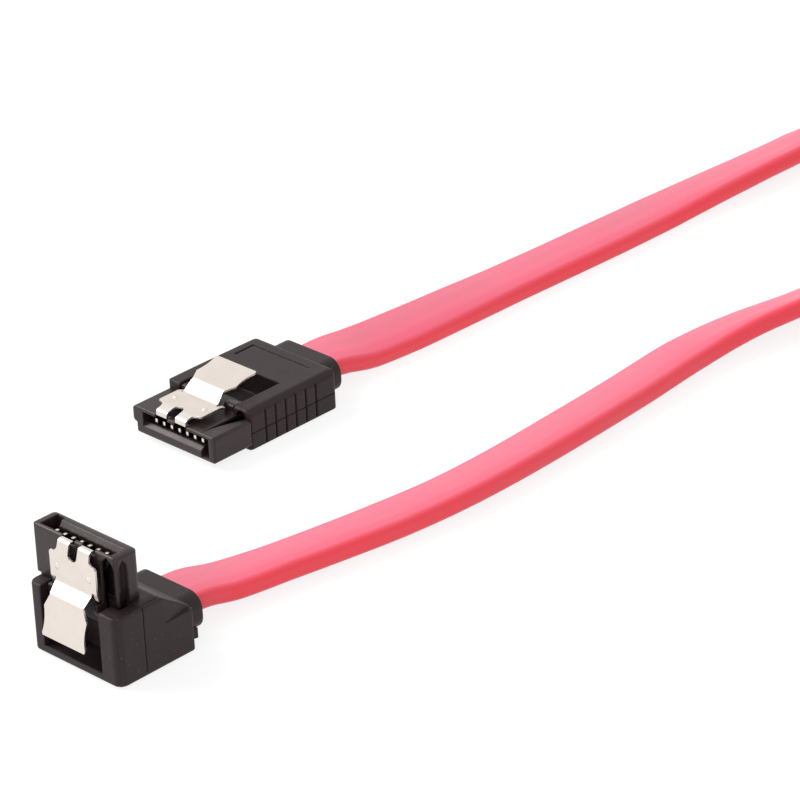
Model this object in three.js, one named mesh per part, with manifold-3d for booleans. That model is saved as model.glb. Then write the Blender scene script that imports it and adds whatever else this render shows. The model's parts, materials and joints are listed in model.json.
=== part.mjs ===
// Flat serial data cable with one straight and one right-angle latching plug, in millimetres.
// The origin is on the surface below the middle of the straight plug, +Z is up, and the straight
// plug's mouth faces -Y. The angled plug stands beside it with its mouth facing up.

import * as THREE from 'three';
import { mergeVertices } from 'three/addons/utils/BufferGeometryUtils.js';
import Module from 'manifold-3d';

const wasm = await Module();
wasm.setup();

// Driving dimensions of the nose, which is one moulding form in both plugs.
// In a plug's own frame x runs across, + on the key side, y runs from the mouth towards the
// cable, and z runs from the nose's underside up to its latch face.
const CONTACT_COUNT = 7;
const CONTACT_PITCH = 1.27;
const NOSE_KEY_SIDE = 6.36;
const NOSE_PLAIN_SIDE = -6.39;
const NOSE_THICKNESS = 3.3;
const NOSE_LENGTH = 5.7;
const NOSE_CORNER = 0.3;
const SLOT_HALF_WIDTH = 5.4;
const SLOT_FLOOR = 1.48;
const SLOT_HEIGHT = 1.45;
const SLOT_DEPTH = 6.0;
const KEY_WIDTH = 1.3;
const KEY_FLOOR = 0.55;
const LEAD_IN_DEPTH = 0.55;
const LEAD_IN_HEIGHT = 0.42;
const KEY_LEAD_IN_HEIGHT = 0.25;
const RAIL_PROUD = 0.78;
const RAIL_HEIGHT = 2.0;
const RAIL_CORNER = 0.6;
const CHANNEL_INNER = 4.08;
const CHANNEL_START = 0.25;
const CHANNEL_DEPTH = 0.9;
const STRAIGHT_CHANNEL_OUTER = 5.65;
const STRAIGHT_CHANNEL_POINT = 5.4;
const ANGLED_CHANNEL_OUTER = 6.1;
const ANGLED_CHANNEL_POINT = 1.5;
const SIDE_CHANNEL_WIDTH = 1.35;
const SIDE_CHANNEL_INSET = 0.28;
const SIDE_CHANNEL_DEPTH = 0.75;
const SIDE_CHANNEL_START = 0.5;

// The root is the narrower end of the nose moulding that the overmould grips.
const ROOT_LENGTH = 2.8;
const ROOT_HALF_WIDTH = 5.5;
const ROOT_FLOOR = 0.35;
const FIT_GAP = 0.1;

// The two blocks beside the latch that its wings stop against.
const STOP_INNER = 2.7;
const STOP_OUTER = 4.2;
const STOP_START = 5.85;
const STOP_LENGTH = 2.3;
const STOP_HEIGHT = 0.9;

// Contacts: bent strips that hang into the slot and run back through the root.
const CONTACT_WIDTH = 0.44;
const CONTACT_THICKNESS = 0.2;
const CONTACT_TIP = 0.74;
const CONTACT_TIP_RISE = 0.6;
const CONTACT_LOW = 1.7;
const CONTACT_SOLE = 0.7;
const CONTACT_BEAM = 2.0;
const CONTACT_BEND = 0.26;
const TAIL_GAP = 0.12;

// Latch: one bent stainless strip, pressed at its free end.
const LATCH_THICKNESS = 0.25;
const LATCH_RISE = 0.97;
const PRONG_OUTER = 2.4;
const PRONG_INNER = 0.7;
const PRONG_LENGTH = 1.5;
const PRONG_SETBACK = 0.2;
const PRONG_GAP = 0.15;
const PRONG_RISE = 0.5;
const NOTCH_END = 1.85;
const HOOK_DROP = 0.05;
const PLATE_HALF_WIDTH = 3.5;
const WING_END = 5.3;
const WING_WIDTH = 0.52;
const WING_DIP = 0.22;
const WING_ROOT = 3.4;
const RAMP_START = 4.85;
const RAMP_HALF_WIDTH = 2.76;
const WAIST = 6.1;
const WAIST_HALF_WIDTH = 2.55;
const WAIST_RISE = 2.2;
const PAD_HALF_WIDTH = 3.25;
const PAD_FLARE = 1.3;
const PAD_END = 10.7;
const PAD_RISE = 3.07;
const LATCH_BEND = 0.3;
const DIMPLE_OFFSET = 2.4;
const DIMPLE_PLACE = 3.2;
const DIMPLE_RADIUS = 0.34;
const DIMPLE_PROUD = 0.14;
const BEND_STEPS = 5;

// Overmoulds: black soft plastic bodies round the roots of the noses.
const SHARP_EDGE = 0.2;
const SOFT_EDGE = 0.4;
const ROUND_EDGE = 0.9;
const POCKET_HALF_WIDTH = 4.48;
const POCKET_END = 13.05;
const POCKET_DEPTH = 1.8;
const COLLAR_WIDTH = 9.8;
const COLLAR_CORNER = 1.7;
const COLLAR_FOOT = 0.55;
const SEAM_WIDTH = 0.14;
const SEAM_DEPTH = 0.12;

// Straight plug.
const STRAIGHT_SOLE = 0.72;
const STRAIGHT_BODY_LEFT = -7.3;
const STRAIGHT_BODY_RIGHT = 6.2;
const STRAIGHT_BODY_TAPER = 0.28;
const STRAIGHT_BODY_END = 19.63;
const STRAIGHT_BODY_HEIGHT = 5.09;
const STRAIGHT_SEAM_HEIGHT = 2.25;
const STRAIGHT_CABLE_CENTRE = -0.44;
const STRAIGHT_COLLAR_HEIGHT = 4.1;
const STRAIGHT_COLLAR_LENGTH = 2.4;
const STRAIGHT_LATCH_CENTRE = -0.75;
const GRIP_COUNT = 6;
const GRIP_START = 8.2;
const GRIP_PITCH = 1.6;
const GRIP_WIDTH = 0.3;
const GRIP_DEPTH = 0.25;
const GRIP_FLOOR_MARGIN = 0.3;
const GRIP_TOP_MARGIN = 0.6;
const MARK_WIDTH = 0.3;
const MARK_DEPTH = 0.25;
const MARK_SIDE_INSET = 1.6;
const MARK_END_INSET = 1.66;
const MARK_LENGTH = 9.4;
const MARK_LEG = 3.1;

// Angled plug, with its mouth at this height above the surface. Its body is given in its own
// standing frame, where x runs the other way from the plug's.
const ANGLED_MOUTH_HEIGHT = 14.17;
const ANGLED_BODY_LEFT = -5.5;
const ANGLED_BODY_RIGHT = 7.8;
const ANGLED_CABLE_CENTRE = 1.14;
const ANGLED_LATCH_CENTRE = -0.75;
const ANGLED_BODY_PROUD = 1.7;
const ANGLED_BODY_DEPTH = 10.7;
const ANGLED_SHOULDER_DEPTH = 4.3;
const ANGLED_REAR_HEIGHT = 5.2;
const ANGLED_FOOT_CORNER = 1.3;
const ANGLED_FRONT_CORNER = 0.6;
const ANGLED_SEAM_PLACE = 1.8;
const ANGLED_SEAM_FOOT = 0.75;
const ANGLED_SEAM_STEP = 0.15;
const ANGLED_COLLAR_HEIGHT = 4.3;
const ANGLED_COLLAR_LENGTH = 2.7;
const FACET_START = 4.7;
const FACET_DEPTH = 0.45;
const NUB_WIDTH = 0.9;
const NUB_HEIGHT = 1.2;
const NUB_PROUD = 0.5;
const NUB_FLOOR = 1.3;
const ANGLED_PLACE_X = 25.64;
const ANGLED_PLACE_Y = -37.58;

// Cable: a flat jacket with rounded edges, lying on the surface.
const CABLE_WIDTH = 6.8;
const CABLE_THICKNESS = 2.2;
const CABLE_CORNER = 0.6;
const CABLE_STEPS = 78;
const CABLE_ROUND_STEPS = 1;

// Values that follow from the driving dimensions.
const SLOT_CEILING = SLOT_FLOOR + SLOT_HEIGHT;
const BODY_FRONT = NOSE_LENGTH;
const ROOT_END = NOSE_LENGTH + ROOT_LENGTH;
const STRAIGHT_CENTRE_X = (Math.min(NOSE_PLAIN_SIDE - RAIL_PROUD, STRAIGHT_BODY_LEFT)
  + Math.max(NOSE_KEY_SIDE, STRAIGHT_BODY_RIGHT)) / 2;
const STRAIGHT_LENGTH = STRAIGHT_BODY_END + STRAIGHT_COLLAR_LENGTH;
const ANGLED_BODY_TOP = ANGLED_MOUTH_HEIGHT - NOSE_LENGTH;
const THROUGH = 1;

const nosePlastic = { color: 0x554e50, roughness: 0.45, metalness: 0 };
const bodyPlastic = { color: 0x484240, roughness: 0.7, metalness: 0 };
const stainless = { color: 0xe8e0d6, roughness: 0.25, metalness: 1 };
const goldPlate = { color: 0xf2e3c0, roughness: 0.25, metalness: 1 };
const redJacket = { color: 0xf25f7c, roughness: 0.5, metalness: 0 };

// Solids from three.js geometries, for joining and cutting.
function solidOf(geometry) {
  const bare = geometry.clone();
  bare.deleteAttribute('normal');
  bare.deleteAttribute('uv');
  const merged = mergeVertices(bare, 1e-4);
  return new wasm.Manifold(new wasm.Mesh({
    numProp: 3,
    vertProperties: new Float32Array(merged.attributes.position.array),
    triVerts: new Uint32Array(merged.index.array),
  }));
}

function geometryOf(solid) {
  const mesh = solid.getMesh();
  const geometry = new THREE.BufferGeometry();
  geometry.setAttribute('position', new THREE.BufferAttribute(new Float32Array(mesh.vertProperties), 3));
  geometry.setIndex(new THREE.BufferAttribute(new Uint32Array(mesh.triVerts), 1));
  geometry.computeVertexNormals();
  return geometry;
}

function box(x0, x1, y0, y1, z0, z1) {
  const geometry = new THREE.BoxGeometry(x1 - x0, y1 - y0, z1 - z0);
  geometry.translate((x0 + x1) / 2, (y0 + y1) / 2, (z0 + z1) / 2);
  return solidOf(geometry);
}

// A shape drawn in x and z, swept along y.
function sweepY(shape, y0, y1, curveSegments = 4) {
  const geometry = new THREE.ExtrudeGeometry(shape, { depth: y1 - y0, bevelEnabled: false, curveSegments });
  geometry.rotateX(Math.PI / 2).translate(0, y1, 0);
  return solidOf(geometry);
}

// A shape drawn in x and y, swept along z.
function sweepZ(shape, z0, z1, curveSegments = 4) {
  const geometry = new THREE.ExtrudeGeometry(shape, { depth: z1 - z0, bevelEnabled: false, curveSegments });
  geometry.translate(0, 0, z0);
  return solidOf(geometry);
}

// A shape drawn in y and z, swept along x.
function sweepX(shape, x0, x1, curveSegments = 4) {
  const geometry = new THREE.ExtrudeGeometry(shape, { depth: x1 - x0, bevelEnabled: false, curveSegments });
  const toX = new THREE.Matrix4().makeBasis(
    new THREE.Vector3(0, 1, 0),
    new THREE.Vector3(0, 0, 1),
    new THREE.Vector3(1, 0, 0),
  );
  geometry.applyMatrix4(toX).translate(x0, 0, 0);
  return solidOf(geometry);
}

// A rectangle with its own radius at each corner, in the order lower left, lower right,
// upper right, upper left.
function roundedRectangle(left, bottom, right, top, radii) {
  const [ll, lr, ur, ul] = radii;
  const shape = new THREE.Shape();
  shape.moveTo(left + ll, bottom);
  shape.lineTo(right - lr, bottom);
  if (lr > 0) shape.absarc(right - lr, bottom + lr, lr, -Math.PI / 2, 0, false);
  shape.lineTo(right, top - ur);
  if (ur > 0) shape.absarc(right - ur, top - ur, ur, 0, Math.PI / 2, false);
  shape.lineTo(left + ul, top);
  if (ul > 0) shape.absarc(left + ul, top - ul, ul, Math.PI / 2, Math.PI, false);
  shape.lineTo(left, bottom + ll);
  if (ll > 0) shape.absarc(left + ll, bottom + ll, ll, Math.PI, Math.PI * 1.5, false);
  return shape;
}

function polygon(points) {
  return new THREE.Shape(points.map(([a, b]) => new THREE.Vector2(a, b)));
}

// The point at a distance from one corner towards another.
function towards(from, to, reach) {
  const step = new THREE.Vector2(to[0] - from[0], to[1] - from[1]).setLength(reach);
  return step.add(new THREE.Vector2(from[0], from[1]));
}

// A closed outline through corners, each given with how far its rounding reaches.
function roundedOutline(corners) {
  const shape = new THREE.Shape();
  corners.forEach((corner, i) => {
    const [x, y, reach] = corner;
    const before = towards(corner, corners.at(i - 1), reach);
    const after = towards(corner, corners[(i + 1) % corners.length], reach);
    if (i === 0) shape.moveTo(before.x, before.y);
    else shape.lineTo(before.x, before.y);
    shape.quadraticCurveTo(x, y, after.x, after.y);
  });
  return shape;
}

// A strip's middle line through corners, each inner one given with how far its bend reaches.
function bentLine(corners) {
  const path = new THREE.Path();
  path.moveTo(corners[0][0], corners[0][1]);
  for (let i = 1; i < corners.length - 1; i += 1) {
    const [x, y, reach] = corners[i];
    const before = towards(corners[i], corners[i - 1], reach);
    const after = towards(corners[i], corners[i + 1], reach);
    path.lineTo(before.x, before.y);
    path.quadraticCurveTo(x, y, after.x, after.y);
  }
  const end = corners.at(-1);
  path.lineTo(end[0], end[1]);
  return path.getPoints(BEND_STEPS).map((point) => [point.x, point.y]);
}

// The side view of a bent strip: its middle line given thickness on both sides.
function bentStrip(line, thickness) {
  const points = line.map(([a, b]) => new THREE.Vector2(a, b));
  const normals = points.map((point, i) => {
    const before = points[Math.max(i - 1, 0)];
    const after = points[Math.min(i + 1, points.length - 1)];
    const into = i > 0 ? point.clone().sub(before).normalize() : after.clone().sub(point).normalize();
    const away = i < points.length - 1 ? after.clone().sub(point).normalize() : into;
    const mean = into.clone().add(away).normalize();
    const widen = 1 / Math.max(mean.dot(into), 0.5);
    return new THREE.Vector2(-mean.y, mean.x).multiplyScalar(widen * thickness / 2);
  });
  const upper = points.map((point, i) => point.clone().add(normals[i]));
  const lower = points.map((point, i) => point.clone().sub(normals[i])).reverse();
  return new THREE.Shape([...lower.reverse(), ...upper.reverse()]);
}

// A channel seen from above, pointed at its mouth end. Its bow is how fast its sides run out
// from the point: 0 leaves the point straight ahead and 1 makes a lancet arch.
function lancet({ left, right, apex, start, end, pointLength, bow }) {
  const shape = new THREE.Shape();
  const full = start + pointLength;
  const turn = start + pointLength * 0.4;
  shape.moveTo(apex, start);
  shape.quadraticCurveTo(THREE.MathUtils.lerp(apex, right, bow), turn, right, full);
  shape.lineTo(right, end);
  shape.lineTo(left, end);
  shape.lineTo(left, full);
  if (left < apex) shape.quadraticCurveTo(THREE.MathUtils.lerp(apex, left, bow), turn, apex, start);
  return shape;
}

function contactPlace(index) {
  return (index - (CONTACT_COUNT - 1) / 2) * CONTACT_PITCH;
}

// The nose's cross-section, with a guide rail on the plain side where the plug has one.
function noseSection(hasRail) {
  const low = NOSE_CORNER;
  const shape = new THREE.Shape();
  const railFoot = NOSE_THICKNESS - RAIL_HEIGHT;
  shape.moveTo(NOSE_PLAIN_SIDE + low, 0);
  shape.lineTo(NOSE_KEY_SIDE - low, 0);
  shape.absarc(NOSE_KEY_SIDE - low, low, low, -Math.PI / 2, 0, false);
  shape.lineTo(NOSE_KEY_SIDE, NOSE_THICKNESS - low);
  shape.absarc(NOSE_KEY_SIDE - low, NOSE_THICKNESS - low, low, 0, Math.PI / 2, false);
  if (hasRail) {
    const outer = NOSE_PLAIN_SIDE - RAIL_PROUD;
    shape.lineTo(outer + RAIL_CORNER, NOSE_THICKNESS);
    shape.absarc(outer + RAIL_CORNER, NOSE_THICKNESS - RAIL_CORNER, RAIL_CORNER, Math.PI / 2, Math.PI, false);
    shape.lineTo(outer, railFoot + low);
    shape.lineTo(NOSE_PLAIN_SIDE, railFoot);
  } else {
    shape.lineTo(NOSE_PLAIN_SIDE + low, NOSE_THICKNESS);
    shape.absarc(NOSE_PLAIN_SIDE + low, NOSE_THICKNESS - low, low, Math.PI / 2, Math.PI, false);
  }
  shape.lineTo(NOSE_PLAIN_SIDE, low);
  shape.absarc(NOSE_PLAIN_SIDE + low, low, low, Math.PI, Math.PI * 1.5, false);
  return shape;
}

// One of the two blocks beside the latch, sloping down towards the cable.
function stopBlock(side, latchCentre) {
  const near = latchCentre + side * STOP_INNER;
  const far = latchCentre + side * STOP_OUTER;
  const top = NOSE_THICKNESS + STOP_HEIGHT;
  const end = STOP_START + STOP_LENGTH;
  const outline = polygon([
    [STOP_START, NOSE_THICKNESS - THROUGH],
    [end, NOSE_THICKNESS - THROUGH],
    [end, NOSE_THICKNESS + STOP_HEIGHT * 0.35],
    [STOP_START + STOP_LENGTH * 0.45, top],
    [STOP_START + STOP_HEIGHT * 0.15, top],
    [STOP_START, top - STOP_HEIGHT * 0.15],
  ]);
  return sweepX(outline, Math.min(near, far), Math.max(near, far));
}

// The nose moulding: L-shaped slot, rim cut-outs for the latch hooks, channels beside the
// latch, and the root with a passage for each contact's tail.
function contactHousing({ latchCentre, channel, hasRail, hasSideChannel }) {
  let solid = sweepY(noseSection(hasRail), 0, NOSE_LENGTH);
  solid = solid.add(box(-ROOT_HALF_WIDTH, ROOT_HALF_WIDTH, NOSE_LENGTH - THROUGH, ROOT_END,
    ROOT_FLOOR, NOSE_THICKNESS));
  solid = solid.add(stopBlock(-1, latchCentre)).add(stopBlock(1, latchCentre));

  const keyStart = SLOT_HALF_WIDTH - KEY_WIDTH;
  const slot = box(-SLOT_HALF_WIDTH, SLOT_HALF_WIDTH, -THROUGH, SLOT_DEPTH, SLOT_FLOOR, SLOT_CEILING);
  const key = box(keyStart, SLOT_HALF_WIDTH, -THROUGH, SLOT_DEPTH, KEY_FLOOR, SLOT_CEILING);
  const slotLeadIn = leadIn(-SLOT_HALF_WIDTH, SLOT_HALF_WIDTH, SLOT_FLOOR, LEAD_IN_HEIGHT);
  const keyLeadIn = leadIn(keyStart, SLOT_HALF_WIDTH, KEY_FLOOR, KEY_LEAD_IN_HEIGHT);
  solid = solid.subtract(slot).subtract(key).subtract(slotLeadIn).subtract(keyLeadIn);

  for (const side of [-1, 1]) {
    const inner = latchCentre + side * (PRONG_INNER - PRONG_GAP);
    const outer = latchCentre + side * (PRONG_OUTER + PRONG_GAP);
    const cutEnd = PRONG_SETBACK + LATCH_THICKNESS + 2 * PRONG_GAP;
    solid = solid.subtract(box(Math.min(inner, outer), Math.max(inner, outer), -THROUGH, cutEnd,
      SLOT_CEILING - THROUGH / 2, NOSE_THICKNESS + THROUGH));
  }

  const plan = lancet({ ...channel, start: CHANNEL_START, end: NOSE_LENGTH + THROUGH });
  solid = solid.subtract(sweepZ(plan, NOSE_THICKNESS - CHANNEL_DEPTH, NOSE_THICKNESS + THROUGH, 6));

  if (hasSideChannel) {
    const top = NOSE_THICKNESS - SIDE_CHANNEL_INSET;
    const outline = lancet({
      left: 0, right: SIDE_CHANNEL_WIDTH, apex: SIDE_CHANNEL_WIDTH / 2, start: SIDE_CHANNEL_START,
      end: NOSE_LENGTH + FIT_GAP, pointLength: SIDE_CHANNEL_WIDTH, bow: 1,
    });
    const geometry = new THREE.ExtrudeGeometry(outline, {
      depth: SIDE_CHANNEL_DEPTH + THROUGH, bevelEnabled: false, curveSegments: 5,
    });
    // Turn the outline's x to run down the side and its sweep to run across.
    const toSide = new THREE.Matrix4().makeBasis(
      new THREE.Vector3(0, 0, -1),
      new THREE.Vector3(0, 1, 0),
      new THREE.Vector3(1, 0, 0),
    );
    geometry.applyMatrix4(toSide).translate(NOSE_PLAIN_SIDE - THROUGH, 0, top);
    solid = solid.subtract(solidOf(geometry));
  }

  const tailHeight = SLOT_CEILING - TAIL_GAP - CONTACT_THICKNESS;
  for (let i = 0; i < CONTACT_COUNT; i += 1) {
    const x = contactPlace(i);
    const half = CONTACT_WIDTH / 2 + TAIL_GAP;
    const rise = CONTACT_THICKNESS / 2 + TAIL_GAP;
    solid = solid.subtract(box(x - half, x + half, SLOT_DEPTH - THROUGH, ROOT_END + THROUGH,
      tailHeight - rise, tailHeight + rise));
  }
  return solid;
}

// A lead-in slope along the mouth edge of a slot's floor.
function leadIn(left, right, floor, height) {
  const middle = floor + SLOT_HEIGHT / 2;
  return sweepX(polygon([
    [-THROUGH, floor - height],
    [0, floor - height],
    [LEAD_IN_DEPTH, floor],
    [LEAD_IN_DEPTH, middle],
    [-THROUGH, middle],
  ]), left, right);
}

// A contact's middle line in y and z: hanging tip, level sole, rising beam and level tail.
function contactLine() {
  const tail = SLOT_CEILING - TAIL_GAP - CONTACT_THICKNESS;
  return bentLine([
    [CONTACT_TIP, CONTACT_LOW + CONTACT_TIP_RISE],
    [CONTACT_TIP, CONTACT_LOW, CONTACT_BEND],
    [CONTACT_TIP + CONTACT_SOLE, CONTACT_LOW, CONTACT_BEND],
    [CONTACT_TIP + CONTACT_BEAM, tail, CONTACT_BEND],
    [ROOT_END - TAIL_GAP, tail],
  ]);
}

function contact(index) {
  const x = contactPlace(index);
  return sweepX(bentStrip(contactLine(), CONTACT_THICKNESS), x - CONTACT_WIDTH / 2, x + CONTACT_WIDTH / 2);
}

// The latch strip's middle line in y and z, from the hooks at the rim to the free end.
function latchLine() {
  const half = LATCH_THICKNESS / 2;
  const face = NOSE_THICKNESS;
  const plate = face + LATCH_RISE - half;
  const waist = face + WAIST_RISE - half;
  const end = face + PAD_RISE - half;
  return bentLine([
    [PRONG_SETBACK, face - HOOK_DROP],
    [PRONG_SETBACK, face + PRONG_RISE, LATCH_BEND],
    [PRONG_LENGTH, plate, LATCH_BEND],
    [RAMP_START, plate, LATCH_BEND],
    [WAIST, waist, LATCH_BEND],
    [PAD_END, end],
  ]);
}

// A wing's middle line: level with the plate, then bent a little down towards its end.
function wingLine() {
  const plate = NOSE_THICKNESS + LATCH_RISE - LATCH_THICKNESS / 2;
  return bentLine([
    [WING_ROOT, plate],
    [RAMP_START - LATCH_BEND, plate, LATCH_BEND],
    [WING_END, plate - WING_DIP],
  ]);
}

// The latch strip seen from above: two prongs, an arched gap between them, arched shoulders,
// a waist at the bend and a thumb pad whose edges run in and out once.
function latchPlan(centre) {
  const front = -THROUGH;
  const arch = PRONG_LENGTH - SHARP_EDGE;
  const plateEnd = RAMP_START - LATCH_BEND;
  const flare = WAIST + PAD_FLARE;
  const dip = (flare + PAD_END) / 2;
  const half = new THREE.Path();
  half.moveTo(0, NOTCH_END);
  half.quadraticCurveTo(PRONG_INNER, NOTCH_END, PRONG_INNER, NOTCH_END - PRONG_INNER);
  half.lineTo(PRONG_INNER, front);
  half.lineTo(PRONG_OUTER, front);
  half.lineTo(PRONG_OUTER, arch - SOFT_EDGE);
  half.quadraticCurveTo(PRONG_OUTER + SHARP_EDGE / 2, arch + SHARP_EDGE,
    PLATE_HALF_WIDTH - SHARP_EDGE, PRONG_LENGTH);
  half.lineTo(PLATE_HALF_WIDTH, PRONG_LENGTH + SHARP_EDGE);
  half.lineTo(PLATE_HALF_WIDTH, plateEnd);
  half.lineTo(RAMP_HALF_WIDTH, plateEnd);
  half.lineTo(RAMP_HALF_WIDTH, RAMP_START);
  half.lineTo(WAIST_HALF_WIDTH, WAIST);
  half.quadraticCurveTo(WAIST_HALF_WIDTH + SHARP_EDGE, WAIST + SOFT_EDGE, PAD_HALF_WIDTH, flare);
  half.quadraticCurveTo(PAD_HALF_WIDTH - SOFT_EDGE, dip, PAD_HALF_WIDTH, PAD_END - SOFT_EDGE);
  half.quadraticCurveTo(PAD_HALF_WIDTH + SHARP_EDGE / 2, PAD_END,
    PAD_HALF_WIDTH - SOFT_EDGE, PAD_END + SHARP_EDGE);
  half.lineTo(0, PAD_END + SHARP_EDGE);
  const right = half.getPoints(BEND_STEPS);
  const left = right.slice(1, -1).reverse().map((point) => new THREE.Vector2(-point.x, point.y));
  const outline = [...right, ...left].map((point) => new THREE.Vector2(point.x + centre, point.y));
  return new THREE.Shape(outline);
}

function latchSpring(centre) {
  const width = PLATE_HALF_WIDTH + THROUGH;
  const strip = sweepX(bentStrip(latchLine(), LATCH_THICKNESS), centre - width, centre + width);
  const plan = sweepZ(latchPlan(centre), NOSE_THICKNESS - THROUGH, NOSE_THICKNESS + PAD_RISE + THROUGH);
  let solid = strip.intersect(plan);
  const top = NOSE_THICKNESS + LATCH_RISE;
  for (const side of [-1, 1]) {
    const outer = centre + side * PLATE_HALF_WIDTH;
    const inner = outer - side * WING_WIDTH;
    const wing = bentStrip(wingLine(), LATCH_THICKNESS);
    solid = solid.add(sweepX(wing, Math.min(inner, outer), Math.max(inner, outer)));
    const bump = new THREE.SphereGeometry(1, 12, 8);
    bump.scale(DIMPLE_RADIUS, DIMPLE_RADIUS, DIMPLE_PROUD);
    bump.translate(centre + side * DIMPLE_OFFSET, DIMPLE_PLACE, top);
    solid = solid.add(solidOf(bump));
  }
  return solid;
}

// The space in an overmould that the nose's root fills, in the plug's frame.
function rootSocket() {
  return box(-ROOT_HALF_WIDTH - FIT_GAP, ROOT_HALF_WIDTH + FIT_GAP, BODY_FRONT - THROUGH,
    ROOT_END + FIT_GAP, ROOT_FLOOR - FIT_GAP, NOSE_THICKNESS + FIT_GAP);
}

// The window over the latch's free end, deep behind the root and open at the front.
function thumbPocket(latchCentre) {
  const left = latchCentre - POCKET_HALF_WIDTH;
  const right = latchCentre + POCKET_HALF_WIDTH;
  const top = NOSE_THICKNESS + PAD_RISE + THROUGH;
  const front = box(left, right, BODY_FRONT - THROUGH, ROOT_END + FIT_GAP, NOSE_THICKNESS, top);
  const rear = box(left, right, ROOT_END, POCKET_END, NOSE_THICKNESS - POCKET_DEPTH, top);
  return front.add(rear);
}

// The collar that the cable leaves through, as a section in x and z above the given foot.
function collarSection(centre, foot, height) {
  return roundedRectangle(centre - COLLAR_WIDTH / 2, foot, centre + COLLAR_WIDTH / 2, foot + height,
    [COLLAR_CORNER, COLLAR_CORNER, COLLAR_CORNER, COLLAR_CORNER]);
}

function straightOvermould() {
  const bottom = -STRAIGHT_SOLE;
  const top = bottom + STRAIGHT_BODY_HEIGHT;
  const left = STRAIGHT_BODY_LEFT;
  const right = STRAIGHT_BODY_RIGHT;
  const end = STRAIGHT_BODY_END;
  const section = roundedRectangle(left, bottom, right, top, [SHARP_EDGE, SHARP_EDGE, ROUND_EDGE, SOFT_EDGE]);
  const plan = roundedOutline([
    [left, BODY_FRONT, SOFT_EDGE],
    [right, BODY_FRONT, SOFT_EDGE],
    [right, end, SOFT_EDGE],
    [left + STRAIGHT_BODY_TAPER, end, SOFT_EDGE],
  ]);
  let solid = sweepY(section, BODY_FRONT, end, 5).intersect(sweepZ(plan, bottom, top));
  const collar = collarSection(STRAIGHT_CABLE_CENTRE, bottom + COLLAR_FOOT, STRAIGHT_COLLAR_HEIGHT);
  solid = solid.add(sweepY(collar, end - THROUGH, end + STRAIGHT_COLLAR_LENGTH, 6));
  solid = solid.subtract(rootSocket()).subtract(thumbPocket(STRAIGHT_LATCH_CENTRE));

  const scoopWidth = STRAIGHT_CHANNEL_OUTER - CHANNEL_INNER;
  const scoop = roundedRectangle(CHANNEL_INNER, NOSE_THICKNESS - CHANNEL_DEPTH, STRAIGHT_CHANNEL_OUTER,
    NOSE_THICKNESS + scoopWidth / 2, [0, 0, scoopWidth / 2, scoopWidth / 2]);
  solid = solid.subtract(sweepY(scoop, BODY_FRONT - THROUGH, BODY_FRONT + CHANNEL_DEPTH));

  // The side cuts follow the taper of the left side.
  const leftAt = (y) => left + STRAIGHT_BODY_TAPER * (y - BODY_FRONT) / (end - BODY_FRONT);
  const sideCut = (y0, y1, depth, z0, z1) => {
    const onLeft = polygon([
      [left - THROUGH, y0],
      [leftAt(y0) + depth, y0],
      [leftAt(y1) + depth, y1],
      [left - THROUGH, y1],
    ]);
    return sweepZ(onLeft, z0, z1).add(box(right - depth, right + THROUGH, y0, y1, z0, z1));
  };
  const seam = bottom + STRAIGHT_SEAM_HEIGHT;
  solid = solid.subtract(sideCut(BODY_FRONT - THROUGH, end + SHARP_EDGE, SEAM_DEPTH,
    seam - SEAM_WIDTH / 2, seam + SEAM_WIDTH / 2));
  for (let i = 0; i < GRIP_COUNT; i += 1) {
    const y = GRIP_START + i * GRIP_PITCH;
    solid = solid.subtract(sideCut(y - GRIP_WIDTH / 2, y + GRIP_WIDTH / 2, GRIP_DEPTH,
      bottom + GRIP_FLOOR_MARGIN, top - GRIP_TOP_MARGIN));
  }
  const markX = left + MARK_SIDE_INSET;
  const markY = STRAIGHT_BODY_END - MARK_END_INSET;
  const markFloor = top - MARK_DEPTH;
  const line = box(markX, markX + MARK_LENGTH, markY - MARK_WIDTH, markY, markFloor, top + THROUGH);
  const leg = box(markX, markX + MARK_WIDTH, markY - MARK_LEG, markY, markFloor, top + THROUGH);
  return solid.subtract(line).subtract(leg);
}

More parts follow.
